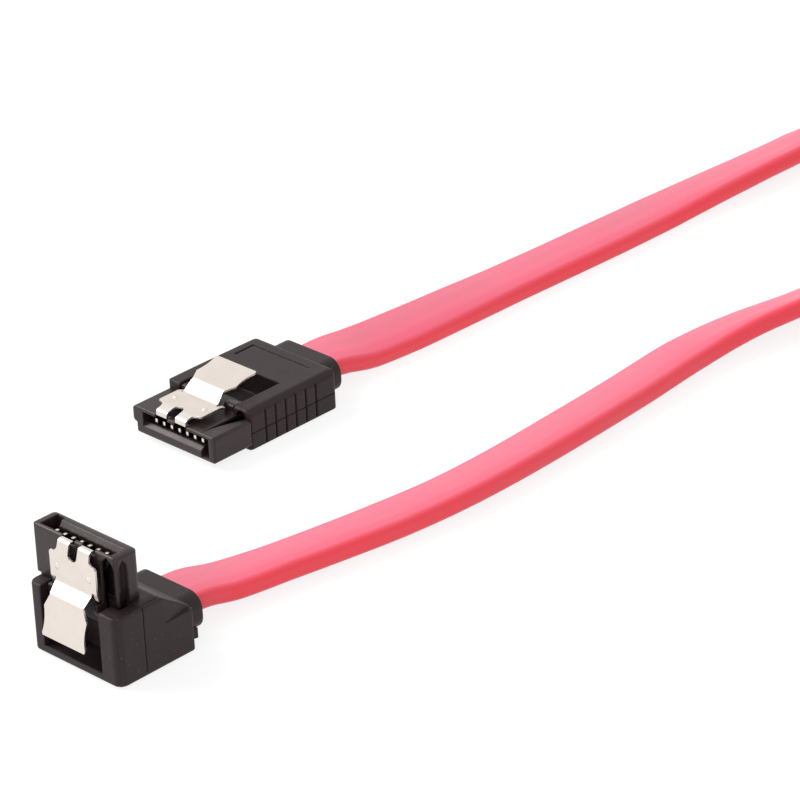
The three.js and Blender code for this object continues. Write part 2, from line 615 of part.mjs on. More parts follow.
// The angled body in its standing frame: x across, y from the nose's latch face towards the
// cable, z up from the surface. The plug's own x runs the other way here.
function angledOvermould() {
  const front = -ANGLED_BODY_PROUD;
  const rear = front + ANGLED_BODY_DEPTH;
  const left = ANGLED_BODY_LEFT;
  const right = ANGLED_BODY_RIGHT;
  const top = ANGLED_BODY_TOP;
  const side = roundedOutline([
    [front, 0, SHARP_EDGE],
    [rear, 0, SHARP_EDGE],
    [rear, ANGLED_REAR_HEIGHT, SHARP_EDGE],
    [ANGLED_SHOULDER_DEPTH, top, SHARP_EDGE],
    [front, top, SOFT_EDGE],
  ]);
  const face = roundedRectangle(left, 0, right, top, [ANGLED_FOOT_CORNER, SHARP_EDGE, SOFT_EDGE, SOFT_EDGE]);
  const plan = roundedOutline([
    [left, front, ANGLED_FRONT_CORNER],
    [right, front, ANGLED_FRONT_CORNER],
    [right, rear, SOFT_EDGE],
    [left, rear, SOFT_EDGE],
  ]);
  let solid = sweepX(side, left, right);
  solid = solid.intersect(sweepY(face, front, rear, 5)).intersect(sweepZ(plan, 0, top));

  // Behind the shoulder the hood draws in above a ledge, and a seam runs down each side.
  for (const [edge, out] of [[left, -1], [right, 1]]) {
    const away = edge + out * THROUGH;
    const wedge = [
      [edge, FACET_START],
      [away, FACET_START],
      [away, rear + THROUGH],
      [edge - out * FACET_DEPTH, rear],
    ];
    if (out < 0) wedge.reverse();
    solid = solid.subtract(sweepZ(polygon(wedge), ANGLED_REAR_HEIGHT, top + THROUGH));
    const groove = edge - out * SEAM_DEPTH;
    solid = solid.subtract(box(Math.min(away, groove), Math.max(away, groove),
      ANGLED_SEAM_PLACE, ANGLED_SEAM_PLACE + SEAM_WIDTH, ANGLED_SEAM_FOOT, top + THROUGH));
  }
  solid = solid.subtract(box(left - THROUGH, right + THROUGH, front - THROUGH, ANGLED_SEAM_PLACE,
    top - ANGLED_SEAM_STEP, top + THROUGH));
  const collar = collarSection(ANGLED_CABLE_CENTRE, COLLAR_FOOT, ANGLED_COLLAR_HEIGHT);
  solid = solid.add(sweepY(collar, rear - THROUGH, rear + ANGLED_COLLAR_LENGTH, 6));
  solid = solid.add(box(right - NUB_WIDTH - SHARP_EDGE, right - SHARP_EDGE, rear - THROUGH, rear + NUB_PROUD,
    NUB_FLOOR, NUB_FLOOR + NUB_HEIGHT));

  // The socket and the pocket are cut in the plug's own frame, which stands on end here.
  const inner = rootSocket().add(thumbPocket(ANGLED_LATCH_CENTRE));
  const recess = box(NOSE_PLAIN_SIDE - FIT_GAP, -CHANNEL_INNER,
    BODY_FRONT - THROUGH, BODY_FRONT + CHANNEL_DEPTH,
    NOSE_THICKNESS - SIDE_CHANNEL_INSET - SIDE_CHANNEL_WIDTH, NOSE_THICKNESS + FIT_GAP);
  return solid.subtract(standing(inner.add(recess)));
}

// Where a point of a plug's own frame lies in the angled body's standing frame.
function standingMatrix() {
  return new THREE.Matrix4().makeBasis(
    new THREE.Vector3(-1, 0, 0),
    new THREE.Vector3(0, 0, -1),
    new THREE.Vector3(0, -1, 0),
  ).setPosition(0, NOSE_THICKNESS, ANGLED_MOUTH_HEIGHT);
}

function standing(solid) {
  return solidOf(geometryOf(solid).applyMatrix4(standingMatrix()));
}

// The route of the cable's middle line in the straight plug's frame, chosen by hand. The
// fourth number is how far, in degrees, the jacket's +X edge is lifted off flat.
function cableRoute() {
  return [
    [-0.44, 22.33, 2.6, 0],
    [-0.4, 25.6, 2.4, -6],
    [0, 30, 1.9, -13],
    [0.5, 36.6, 1.76, -13],
    [0.65, 45, 1.56, -9],
    [0.75, 53.5, 1.33, -4],
    [1.05, 62, 1.28, -3],
    [1.35, 71, 1.28, -3],
    [1.4, 80, 1.17, -1],
    [1.85, 89, 1.4, 5],
    [2.4, 98, 1.63, 10],
    [2.7, 107, 1.73, 12],
    [3, 115.5, 2.5, 31],
    [2.9, 124, 3.3, 58],
    [1.7, 133.8, 3.48, 84],
    [-1.9, 142.9, 3.44, 90],
    [-7.5, 150.9, 3.44, 90],
    [-13.9, 161.1, 3.44, 90],
    [-16.4, 172.9, 3.44, 90],
    [-14.6, 184.8, 3.44, 90],
    [-8.8, 195.3, 3.44, 90],
    [0.3, 203.1, 3.44, 90],
    [11.6, 207.3, 3.44, 90],
    [23.6, 207.3, 3.44, 90],
    [34.9, 203.1, 3.44, 90],
    [44, 195.3, 3.44, 90],
    [49.8, 184.8, 3.44, 90],
    [51.6, 172.9, 3.44, 90],
    [49.1, 161.1, 3.44, 90],
    [42.7, 150.9, 3.44, 90],
    [37.1, 142.9, 3.44, 90],
    [33.8, 133.8, 3.48, 84],
    [33.1, 124, 3.34, 60],
    [33.4, 115, 2.86, 40],
    [33.8, 106, 2.69, 36],
    [34, 97, 2.58, 33],
    [33.8, 88, 2.46, 30],
    [33.3, 79.5, 2.32, 26],
    [32.3, 71, 2.15, 22],
    [30.5, 62, 1.72, 12],
    [30, 53, 1.34, 4],
    [30.9, 42, 1.29, 3],
    [31.6, 31, 1.29, 3],
    [32.1, 20, 1.34, 4],
    [32, 11, 1.4, 5],
    [31.1, 3, 1.38, 4.5],
    [29.95, -4.5, 1.43, 5.5],
    [28.6, -12, 1.5, 6],
    [27.6, -18.5, 1.85, 2],
    [26.95, -22.5, 2.5, 0],
    [26.78, -25.58, 2.7, 0],
  ];
}

// A curve whose frames carry the jacket's lift instead of turning freely.
class TwistedRoute extends THREE.CatmullRomCurve3 {
  constructor(rows) {
    super(rows.map(([x, y, z]) => new THREE.Vector3(x, y, z)), false, 'catmullrom', 0.5);
    this.lifts = rows.map((row) => THREE.MathUtils.degToRad(row[3]));
  }

  liftAt(t) {
    const place = t * (this.lifts.length - 1);
    const index = Math.min(Math.floor(place), this.lifts.length - 2);
    return THREE.MathUtils.lerp(this.lifts[index], this.lifts[index + 1], place - index);
  }

  computeFrenetFrames(steps) {
    const tangents = [];
    const normals = [];
    const binormals = [];
    const up = new THREE.Vector3(0, 0, 1);
    for (let i = 0; i <= steps; i += 1) {
      const t = this.getUtoTmapping(i / steps);
      const tangent = this.getTangent(t);
      const flatEdge = new THREE.Vector3().crossVectors(tangent, up).normalize();
      const flatUp = new THREE.Vector3().crossVectors(flatEdge, tangent);
      // The edge that starts at +X comes back at +X, while the direction of travel turns round.
      const lift = this.liftAt(t);
      const returning = t > 0.5 ? Math.PI - lift : lift;
      const normal = flatEdge.multiplyScalar(Math.cos(returning))
        .addScaledVector(flatUp, Math.sin(returning));
      tangents.push(tangent);
      normals.push(normal);
      binormals.push(new THREE.Vector3().crossVectors(tangent, normal));
    }
    return { tangents, normals, binormals };
  }
}

// The jacket's section is flat with rounded edges, its width along the frame's normal.
function cableJacket() {
  const reach = CABLE_WIDTH / 2;
  const rise = CABLE_THICKNESS / 2;
  const corners = [CABLE_CORNER, CABLE_CORNER, CABLE_CORNER, CABLE_CORNER];
  return new THREE.ExtrudeGeometry(roundedRectangle(-reach, -rise, reach, rise, corners), {
    steps: CABLE_STEPS,
    curveSegments: CABLE_ROUND_STEPS,
    extrudePath: new TwistedRoute(cableRoute()),
  });
}

function piece(name, geometry, finish) {
  const mesh = new THREE.Mesh(geometry, new THREE.MeshStandardMaterial(finish));
  mesh.name = name;
  return mesh;
}

// The nose moulding, its contacts and its latch, in the plug's own frame.
function noseGroup(prefix, options) {
  const group = new THREE.Group();
  group.add(piece(`${prefix}_contact_housing`, geometryOf(contactHousing(options)), nosePlastic));
  group.add(piece(`${prefix}_latch_spring`, geometryOf(latchSpring(options.latchCentre)), stainless));
  for (let i = 0; i < CONTACT_COUNT; i += 1) {
    group.add(piece(`${prefix}_contact_${i + 1}`, geometryOf(contact(i)), goldPlate));
  }
  return group;
}

function straightPlug() {
  const plug = noseGroup('straight', {
    latchCentre: STRAIGHT_LATCH_CENTRE,
    channel: {
      left: CHANNEL_INNER, right: STRAIGHT_CHANNEL_OUTER, apex: CHANNEL_INNER,
      pointLength: STRAIGHT_CHANNEL_POINT, bow: 0.1,
    },
    hasRail: true,
    hasSideChannel: false,
  });
  plug.add(piece('straight_overmould', geometryOf(straightOvermould()), bodyPlastic));
  plug.position.z = STRAIGHT_SOLE;
  return plug;
}

function angledPlug() {
  const plug = new THREE.Group();
  const nose = noseGroup('angled', {
    latchCentre: ANGLED_LATCH_CENTRE,
    channel: {
      left: -ANGLED_CHANNEL_OUTER, right: -CHANNEL_INNER, apex: -(CHANNEL_INNER + ANGLED_CHANNEL_OUTER) / 2,
      pointLength: ANGLED_CHANNEL_POINT, bow: 1,
    },
    hasRail: false,
    hasSideChannel: true,
  });
  nose.applyMatrix4(standingMatrix());
  plug.add(nose);
  plug.add(piece('angled_overmould', geometryOf(angledOvermould()), bodyPlastic));
  plug.position.set(ANGLED_PLACE_X, ANGLED_PLACE_Y, 0);
  return plug;
}

const cable = new THREE.Group();
cable.add(straightPlug());
cable.add(angledPlug());
cable.add(piece('cable_jacket', cableJacket(), redJacket));
cable.position.set(-STRAIGHT_CENTRE_X, -STRAIGHT_LENGTH / 2, 0);

const assembly = new THREE.Group();
assembly.add(cable);

export default assembly;
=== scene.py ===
import json
import math

import bmesh
import bpy
from bpy.props import FloatProperty, FloatVectorProperty, PointerProperty
from mathutils import Matrix, Vector

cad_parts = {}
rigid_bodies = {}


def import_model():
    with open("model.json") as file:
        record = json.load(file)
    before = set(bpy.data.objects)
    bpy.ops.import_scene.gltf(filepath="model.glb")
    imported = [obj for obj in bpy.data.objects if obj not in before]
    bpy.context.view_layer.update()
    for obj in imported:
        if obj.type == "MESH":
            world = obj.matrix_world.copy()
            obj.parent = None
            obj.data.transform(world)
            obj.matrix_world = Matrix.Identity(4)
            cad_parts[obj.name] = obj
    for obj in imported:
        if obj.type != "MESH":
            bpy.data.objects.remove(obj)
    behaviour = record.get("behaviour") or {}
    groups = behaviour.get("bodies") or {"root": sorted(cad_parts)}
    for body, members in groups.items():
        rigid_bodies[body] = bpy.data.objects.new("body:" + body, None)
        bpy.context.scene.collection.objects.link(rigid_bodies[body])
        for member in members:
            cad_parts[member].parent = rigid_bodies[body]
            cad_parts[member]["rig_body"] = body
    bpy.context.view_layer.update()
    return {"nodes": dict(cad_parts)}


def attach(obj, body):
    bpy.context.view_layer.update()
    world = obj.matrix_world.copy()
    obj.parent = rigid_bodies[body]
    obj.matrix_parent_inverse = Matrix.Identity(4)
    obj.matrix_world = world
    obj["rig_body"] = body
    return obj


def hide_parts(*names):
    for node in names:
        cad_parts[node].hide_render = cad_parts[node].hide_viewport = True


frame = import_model()

bl_info = {
    "name": "Flat Data Cable",
    "version": (1, 0, 0),
    "blender": (4, 5, 0),
    "location": "View3D > Sidebar > Data Cable",
    "description": "Dresses the packed model of a flat data cable and its two plugs",
    "category": "Object",
}

PLUGS = ("straight", "angled")
CONTACTS = 7
CONTACT_PITCH = 0.00127
# Where each plug's middle contact lies along X, and the axis along which its contacts run back
# from their tips, with the two places on it between which painted shade darkens their plating.
MIDDLE_CONTACT = {"straight": 0.00047, "angled": 0.02611}
TIP_TO_BACK = {"straight": ("Y", -0.0101, -0.0094), "angled": ("Z", 0.01352, 0.01325)}

# The route of the jacket's middle line in metres from its start, the same points as in the part's
# source apart from the returning strand's flat stretch, which is lifted up to 4 degrees and
# 0.13 mm more here. The fourth number is how far the jacket's +X edge is lifted off flat, in
# degrees.
ROUTE_START = Vector((0.00047, -0.011015, 0.0))
ROUTE = [
    (-0.00044, 0.02233, 0.0026, 0),
    (-0.0004, 0.0256, 0.0024, -6),
    (0.0, 0.03, 0.0019, -13),
    (0.0005, 0.0366, 0.00176, -13),
    (0.00065, 0.045, 0.00156, -9),
    (0.00075, 0.0535, 0.00133, -4),
    (0.00105, 0.062, 0.00128, -3),
    (0.00135, 0.071, 0.00128, -3),
    (0.0014, 0.08, 0.00117, -1),
    (0.00185, 0.089, 0.0014, 5),
    (0.0024, 0.098, 0.00163, 10),
    (0.0027, 0.107, 0.00173, 12),
    (0.003, 0.1155, 0.0025, 31),
    (0.0029, 0.124, 0.0033, 58),
    (0.0017, 0.1338, 0.00348, 84),
    (-0.0019, 0.1429, 0.00344, 90),
    (-0.0075, 0.1509, 0.00344, 90),
    (-0.0139, 0.1611, 0.00344, 90),
    (-0.0164, 0.1729, 0.00344, 90),
    (-0.0146, 0.1848, 0.00344, 90),
    (-0.0088, 0.1953, 0.00344, 90),
    (0.0003, 0.2031, 0.00344, 90),
    (0.0116, 0.2073, 0.00344, 90),
    (0.0236, 0.2073, 0.00344, 90),
    (0.0349, 0.2031, 0.00344, 90),
    (0.044, 0.1953, 0.00344, 90),
    (0.0498, 0.1848, 0.00344, 90),
    (0.0516, 0.1729, 0.00344, 90),
    (0.0491, 0.1611, 0.00344, 90),
    (0.0427, 0.1509, 0.00344, 90),
    (0.0371, 0.1429, 0.00344, 90),
    (0.0338, 0.1338, 0.00348, 84),
    (0.0331, 0.124, 0.00334, 60),
    (0.0334, 0.115, 0.00286, 40),
    (0.0338, 0.106, 0.00269, 36),
    (0.034, 0.097, 0.00258, 33),
    (0.0338, 0.088, 0.00246, 30),
    (0.0333, 0.0795, 0.00232, 26),
    (0.0323, 0.071, 0.00215, 22),
    (0.0305, 0.062, 0.00178, 15.5),
    (0.03, 0.053, 0.00147, 8),
    (0.0309, 0.042, 0.00142, 7),
    (0.0316, 0.031, 0.00141, 6.5),
    (0.0321, 0.02, 0.00143, 7),
    (0.032, 0.011, 0.00144, 6.5),
    (0.0311, 0.003, 0.00138, 4.5),
    (0.02995, -0.0045, 0.00143, 5.5),
    (0.0286, -0.012, 0.0015, 6),
    (0.0276, -0.0185, 0.00185, 2),
    (0.02695, -0.0225, 0.0025, 0),
    (0.02678, -0.02558, 0.0027, 0),
]
TURN_ROUND = 22  # the route comes back towards the plugs after this point
STEPS_BETWEEN = 9  # from each point of the route to the next

# The outer walls of each moulding in millimetres: a point on the wall, its outward direction, how
# far in from it the rounding of its corners starts and how far it then stands out, so that a
# rounded corner reaches about as far as the solid's sharp one.
OUTER_WALLS = {
    "straight_overmould": (
        ((-6.83, -5.315, 0), (-1, 0.0201, 0), 0.6),
        ((6.67, 0, 0), (1, 0, 0), 0.6),
        ((0, -5.315, 0), (0, -1, 0), 0.5),
        ((0, 8.615, 0), (0, 1, 0), 0.6),
        ((0, 0, 0), (0, 0, -1), 0.3),
        ((0, 0, 5.09), (0, 0, 1), 0.35),
    ),
    "straight_contact_housing": (
        ((-6.7, 0, 0), (-1, 0, 0), 0.5),
        ((6.83, 0, 0), (1, 0, 0), 0.5),
        ((0, -11.015, 0), (0, -1, 0), 0.22),
        ((0, 0, 0.72), (0, 0, -1), 0.35),
        ((0, 0, 4.02), (0, 0, 1), 0.28),
    ),
    "angled_overmould": (
        ((20.61, 0, 0), (-1, 0, 0), 0.8, 0.15),
        ((33.91, 0, 0), (1, 0, 0), 1.0, 0.12),
        ((0, -50.295, 0), (0, -1, 0), 1.0, 0.15),
        ((0, -39.595, 0), (0, 1, 0), 0.5),
        ((0, 0, 0), (0, 0, -1), 0.5),
        ((0, 0, 8.47), (0, 0, 1), 0.45),
    ),
    "angled_contact_housing": (
        ((19.75, 0, 0), (-1, 0, 0), 0.5),
        ((32.5, 0, 0), (1, 0, 0), 0.8),
        ((0, -48.595, 0), (0, -1, 0), 0.4),
        ((0, -45.295, 0), (0, 1, 0), 0.7),
        ((0, 0, 14.17), (0, 0, 1), 0.28),
    ),
}
ROUNDING_CUTS = (1.0, 0.732, 0.423)  # shares of a reach that give even steps round a corner

PER_METRE = 1000  # millimetres
WELD_DISTANCE = 1e-6
CUT_TOLERANCE = 1e-7
CUT_WELD_DISTANCE = 3e-6  # welds the points that the cuts leave close together
FLAT_ANGLE = math.radians(0.1)  # faces that bend less than this become one
SMOOTH_ANGLE = math.radians(32.0)  # edges that bend less than this are shaded smooth
FLATS_WEIGHT = 90  # how far the large flat faces rule the shading

CORNER_STEPS = 8  # round each corner of the jacket's section
SECTION_SPACING = 0.00024  # between the points of the jacket's section
VALLEY_REACH = 0.25  # from the middle to the valley's side, as a share of the width
PATH_STRIDE = 3  # the cord's path takes every third point of the jacket's line

WHITE = (1.0, 1.0, 1.0, 1.0)
CLOUD_RANGE = (0.3, 0.7)  # where most of a noise lies

# Noises of the finishes: waves per metre, detail and, where it isn't 0.5, roughness. A drawn-out
# noise has its waves per metre along each axis instead.
GRAIN_NOISE = (3.0, 0.6)  # its waves come from the grain's size
SCUFFS = (260.0, 4.0, 0.55)
DUST_CELLS = 1400.0
ROLLING_LINES = ((9000.0, 300.0, 300.0), 3.0)
SMUDGES = (420.0, 4.0)
PLATING_CLOUDS = (2500.0, 3.0)
DRAWN_LINES = ((2600.0, 26.0, 1.0), 4.0)
JACKET_CLOUDS = (110.0, 5.0)
JACKET_GRAIN = (5200.0, 2.0)

# The black plastics: roughness, specular level and size of the grain.
BODY_FINISH = (0.45, 0.27, 0.00022)
NOSE_FINISH = (0.3, 0.36, 0.0003)
NOSE_GRAIN_SHARE = 0.4  # of the height of the bodies' grain
NOSE_EDGE_SHARE = 0.7  # of the radius of the bodies' edges
BLACK_TINT = (1.0, 0.9, 0.9, 1.0)
BLACK_SPREAD = (-0.06, 0.08)  # how far scuffs lower and raise the roughness
BLACK_SHADES = (0.8, 1.25)
BLACK_SHADES_AT = (0.5, 0.95)
GRAIN_IN_COLOUR = 0.45  # how far the fine grain joins the scuffs in the colour
DUST_COLOUR = (0.5, 0.47, 0.45, 1.0)
DUST_EDGE = (0.04, 0.13)  # where a speck of dust fades out, in cells
DUST_STRENGTH = 0.16
EDGE_SAMPLES = 4  # of the node that softens edges

STEEL_EDGE = 0.00005
STEEL_SHADES = (0.97, 1.03)
STEEL_LINES_RANGE = (0.25, 0.75)
STEEL_ROUGHNESS = (0.26, 0.34)

GOLD_SHADES = (0.9, 1.06)
GOLD_ROUGHNESS = (0.16, 0.36)
HIGHLIGHT_EDGE = (0.05, 0.14)  # where the crown's painted highlight fades out, in contact pitches from its middle
SHADE_BESIDE_CROWN = 0.85  # how far painted shade darkens the plating next to the crown
# how much of the gold's colour the painted shade leaves
PAINTED_SHADE_SHARE = 0.12
WHOLE_PITCHES = 20  # keeps the count of pitches above 0 on every contact

EDGE_FROM = 0.66  # the edge colour starts here, as a share of the half width
SHADED_HALF_RANGE = (-0.35, 0.55)  # painted shade comes in between these shares of the half width
LINES_IN_COLOUR = 0.35  # how far the drawn lines join the clouding in the colour
CLOUDED = (0.93, 0.93, 0.93, 1.0)
CLOUDED_AT = (0.45, 0.9)
JACKET_ROUGHNESS = (0.36, 0.5)
JACKET_GRAIN_HEIGHT = 0.000004
DRAWN_LINES_HEIGHT = 0.000016
JACKET_SHADER = {
    "Specular IOR Level": 0.8,
    "Sheen Weight": 0.3,
    "Sheen Roughness": 0.3,
    "Sheen Tint": (1.0, 0.72, 0.95, 1.0),
    "Subsurface Weight": 0.1,
    "Subsurface Radius": (1.0, 0.3, 0.3),
    "Subsurface Scale": 0.0006,
}

LAMPS = (  # name, place, width and share of the lamp's power
    ("key_lamp", (-0.46, -0.25, 0.56), 0.45, 1.0),
    ("front_lamp", (0.33, -0.56, 0.28), 0.3, 0.16),
    ("side_lamp", (-0.5, -0.47, 0.39), 0.22, 0.14),
)
LAMP_AIM = Vector((0.02, 0.02, 0.0))
FLOOR_DROP = 0.00003  # below the cable, so that the two never lie in one plane
FLOOR_MATT = (0.24, 0.24, 0.24, 1.0)
FLOOR_GLOW = 0.83
SENSOR_WIDTH = 36.0  # in millimetres, like the lens
CLIP_RANGE = (0.01, 20.0)


class StageSettings(bpy.types.PropertyGroup):
    azimuth: FloatProperty(
        name="Azimuth",
        description="Where the camera stands round the cable",
        default=math.radians(45.38),
        subtype="ANGLE",
    )
    elevation: FloatProperty(
        name="Elevation",
        description="How high above the surface the camera looks down from",
        default=math.radians(27.26),
        subtype="ANGLE",
    )
    roll: FloatProperty(
        name="Roll",
        description="How far the camera leans",
        default=math.radians(-2.71),
        subtype="ANGLE",
    )
    aim: FloatVectorProperty(
        name="Aim",
        description="The point that the camera looks at",
        default=(0.01673, 0.008675, 0.00438),
        subtype="TRANSLATION",
    )
    distance: FloatProperty(
        name="Distance", description="From the camera to its aim", default=0.49398, unit="LENGTH"
    )
    lens: FloatProperty(name="Lens", description="Focal length in millimetres", default=196.83)
    sky: FloatProperty(name="Sky", description="Strength of the light from all round", default=0.6)
    lamp_power: FloatProperty(
        name="Lamp", description="Power of the large soft lamp", default=3.7, unit="POWER"
    )
    floor_size: FloatProperty(
        name="Floor", description="Width of the floor", default=4.0, unit="LENGTH"
    )
    floor_colour: FloatVectorProperty(
        name="Floor colour",
        description="Colour of the floor",
        default=(0.86, 0.86, 0.86),
        subtype="COLOR",
    )


class JacketSettings(bpy.types.PropertyGroup):
    width: FloatProperty(
        name="Width", description="Across the flat jacket", default=0.0068, unit="LENGTH"
    )
    thickness: FloatProperty(
        name="Thickness", description="Through the jacket", default=0.0022, unit="LENGTH"
    )
    corner: FloatProperty(
        name="Corner",
        description="Radius of the jacket's long edges",
        default=0.00085,
        unit="LENGTH",
    )
    valley: FloatProperty(
        name="Valley",
        description="Depth of the shallow valley between the two conductor pairs",
        default=0.00011,
        unit="LENGTH",
        precision=6,
    )
    overlap: FloatProperty(
        name="Overlap",
        description="How far the jacket reaches into the collars",
        default=0.0006,
        unit="LENGTH",
    )
    # Painted sheen: the faces' red is made paler, standing in for the white surround that they
    # catch at a grazing angle.
    sheened_face_colour: FloatVectorProperty(
        name="Face colour",
        description="Colour of the flat faces, where the skin over the conductors is thin",
        default=(0.92, 0.18, 0.275),
        subtype="COLOR",
    )
    # Painted shade: the +X half of each face is given a less pale red, standing in for its catching
    # less sheen.
    shaded_half_colour: FloatVectorProperty(
        name="Deep colour",
        description="Colour of the half of the faces whose skin is thicker",
        default=(0.91, 0.1, 0.185),
        subtype="COLOR",
    )
    edge_colour: FloatVectorProperty(
        name="Edge colour",
        description="Colour of the solid edges",
        default=(1.0, 0.03, 0.06),
        subtype="COLOR",
    )


class PlasticSettings(bpy.types.PropertyGroup):
    body_colour: FloatVectorProperty(
        name="Body colour",
        description="Colour of the overmoulds",
        default=(0.0215, 0.0138, 0.0138),
        subtype="COLOR",
    )
    nose_colour: FloatVectorProperty(
        name="Nose colour",
        description="Colour of the contact housings",
        default=(0.0255, 0.0162, 0.017),
        subtype="COLOR",
    )
    grain: FloatProperty(
        name="Grain",
        description="Height of the moulded grain",
        default=0.000014,
        unit="LENGTH",
        precision=6,
    )
    edge: FloatProperty(
        name="Edge",
        description="Radius of the moulded edges",
        default=0.00034,
        unit="LENGTH",
        precision=6,
    )


class MetalSettings(bpy.types.PropertyGroup):
    steel_colour: FloatVectorProperty(
        name="Steel colour",
        description="Colour of the latches",
        default=(0.77, 0.695, 0.635),
        subtype="COLOR",
    )
    gold_colour: FloatVectorProperty(
        name="Gold colour",
        description="Colour of the contacts",
        default=(0.95, 0.88, 0.75),
        subtype="COLOR",
    )
    brushing: FloatProperty(
        name="Brushing",
        description="Height of the rolling lines on the latches",
        default=0.0000006,
        unit="LENGTH",
        precision=7,
    )


def catmull_rom(before, start, end, after, t):
    """A point on the same curve that the part's source draws through its route."""
    return 0.5 * (
        2 * start
        + (end - before) * t
        + (2 * before - 5 * start + 4 * end - after) * t**2
        + (3 * start - before - 3 * end + after) * t**3
    )


def jacket_line(overlap):
    """Points along the jacket's middle line, and the turn of its +X edge at each."""
    rows = [ROUTE_START + Vector(row[:3]) for row in ROUTE]
    turns = [row[3] if i <= TURN_ROUND else 180 - row[3] for i, row in enumerate(ROUTE)]
    first = rows[0] * 2 - rows[1]
    last = rows[-1] * 2 - rows[-2]
    padded = [first, *rows, last]
    points, angles = [], []
    for i in range(len(rows) - 1):
        for step in range(STEPS_BETWEEN):
            t = step / STEPS_BETWEEN
            points.append(catmull_rom(*padded[i : i + 4], t))
            angles.append(turns[i] * (1 - t) + turns[i + 1] * t)
    points.append(rows[-1])
    angles.append(turns[-1])
    points[0] = points[0] + (points[0] - points[1]).normalized() * overlap
    points[-1] = points[-1] + (points[-1] - points[-2]).normalized() * overlap
    return points, [math.radians(a) for a in angles]


def add_node(tree, kind, settings=None, **inputs):
    """A node with its settings and input values, where i2 stands for the input with the index 2.

    An input value that is a socket is linked.
    """
    node = tree.nodes.new(kind)
    for key, value in (settings or {}).items():
        setattr(node, key, value)
    for key, value in inputs.items():
        by_index = key[0] == "i" and key[1:].isdigit()
        socket = node.inputs[int(key[1:]) if by_index else key]
        if isinstance(value, bpy.types.NodeSocket):
            tree.links.new(value, socket)
        else:
            socket.default_value = value
    return node


def maths(tree, operation, *values):
    """The result of a Math node."""
    inputs = {f"i{i}": value for i, value in enumerate(values)}
    return add_node(tree, "ShaderNodeMath", {"operation": operation}, **inputs).outputs[0]


def rescale(tree, value, before, after=(0.0, 1.0), smooth=False):
    """The result of a Map Range node, from one range to another."""
    settings = {"interpolation_type": "SMOOTHSTEP"} if smooth else {}
    limits = ("From Min", "From Max", "To Min", "To Max")
    inputs = dict(zip(limits, (*before, *after)))
    return add_node(tree, "ShaderNodeMapRange", settings, Value=value, **inputs).outputs["Result"]


def noise(tree, place, waves, detail, roughness=0.5):
    """The result of a Noise Texture node."""
    inputs = {"Vector": place, "Scale": waves, "Detail": detail, "Roughness": roughness}
    return add_node(tree, "ShaderNodeTexNoise", **inputs).outputs["Fac"]


def drawn_noise(tree, place, waves, detail):
    """A noise with its own waves along each axis."""
    stretched = add_node(tree, "ShaderNodeMapping", Vector=place, Scale=waves)
    return noise(tree, stretched.outputs["Vector"], 1.0, detail)


def blend(tree, factor, first, second, how="MIX"):
    """The result of a Mix node between two colours."""
    settings = {"data_type": "RGBA", "blend_type": how}
    return add_node(tree, "ShaderNodeMix", settings, i0=factor, i6=first, i7=second).outputs[2]


def shade(colour, factor):
    """A colour made darker or lighter, with its alpha."""
    return tuple(min(1.0, c * factor) for c in colour) + (1.0,)


def ramp(tree, factor, low, high, span=CLOUD_RANGE):
    """A colour ramp between two colours, linked to a factor."""
    node = add_node(tree, "ShaderNodeValToRGB", Fac=factor)
    for element, position, colour in zip(node.color_ramp.elements, span, (low, high)):
        element.position = position
        element.color = colour
    return node.outputs["Color"]


def softened_edges(tree, radius):
    """A normal that rounds the edges off."""
    settings = {"samples": EDGE_SAMPLES}
    return add_node(tree, "ShaderNodeBevel", settings, Radius=radius).outputs["Normal"]


def bump(tree, height, distance, **under):
    """The normal of a Bump node, over the normal that is under it, if any."""
    inputs = {"Height": height, "Strength": 1.0, "Distance": distance, **under}
    return add_node(tree, "ShaderNodeBump", **inputs).outputs["Normal"]


def new_material(name, colour, roughness, metallic=0.0):
    """A material with a Principled shader, and its node tree and shader."""
    material = bpy.data.materials.new(name)
    material.use_nodes = True
    material.diffuse_color = (*colour, 1.0)
    tree = material.node_tree
    shader = tree.nodes["Principled BSDF"]
    shader.inputs["Base Color"].default_value = (*colour, 1.0)
    shader.inputs["Roughness"].default_value = roughness
    shader.inputs["Metallic"].default_value = metallic
    return material, tree, shader


def link_finish(tree, shader, colour, roughness, normal=None):
    """Link a finish's colour, roughness and normal, if it has one, to its shader."""
    tree.links.new(colour, shader.inputs["Base Color"])
    tree.links.new(roughness, shader.inputs["Roughness"])
    if normal is not None:
        tree.links.new(normal, shader.inputs["Normal"])


def moulded_plastic(name, colour, roughness, gloss, grain_size, grain, edge):
    """Black moulded plastic: fine grain, faint scuffs, specks of dust and softened edges."""
    material, tree, shader = new_material(name, colour, roughness)
    shader.inputs["Specular IOR Level"].default_value = gloss
    shader.inputs["Specular Tint"].default_value = BLACK_TINT
    place = add_node(tree, "ShaderNodeTexCoord").outputs["Object"]
    fine = noise(tree, place, 1 / grain_size, *GRAIN_NOISE)
    scuffs = noise(tree, place, *SCUFFS)
    mixed = maths(tree, "MULTIPLY_ADD", fine, GRAIN_IN_COLOUR, scuffs)
    shades = ramp(tree, mixed, *(shade(colour, factor) for factor in BLACK_SHADES), BLACK_SHADES_AT)
    dust = add_node(tree, "ShaderNodeTexVoronoi", Vector=place, Scale=DUST_CELLS)
    speck = rescale(tree, dust.outputs["Distance"], DUST_EDGE, (DUST_STRENGTH, 0.0))
    dusty = blend(tree, speck, shades, DUST_COLOUR)
    rough = rescale(tree, scuffs, CLOUD_RANGE, tuple(roughness + spread for spread in BLACK_SPREAD))
    normal = bump(tree, fine, grain, Normal=softened_edges(tree, edge))
    link_finish(tree, shader, dusty, rough, normal)
    return material


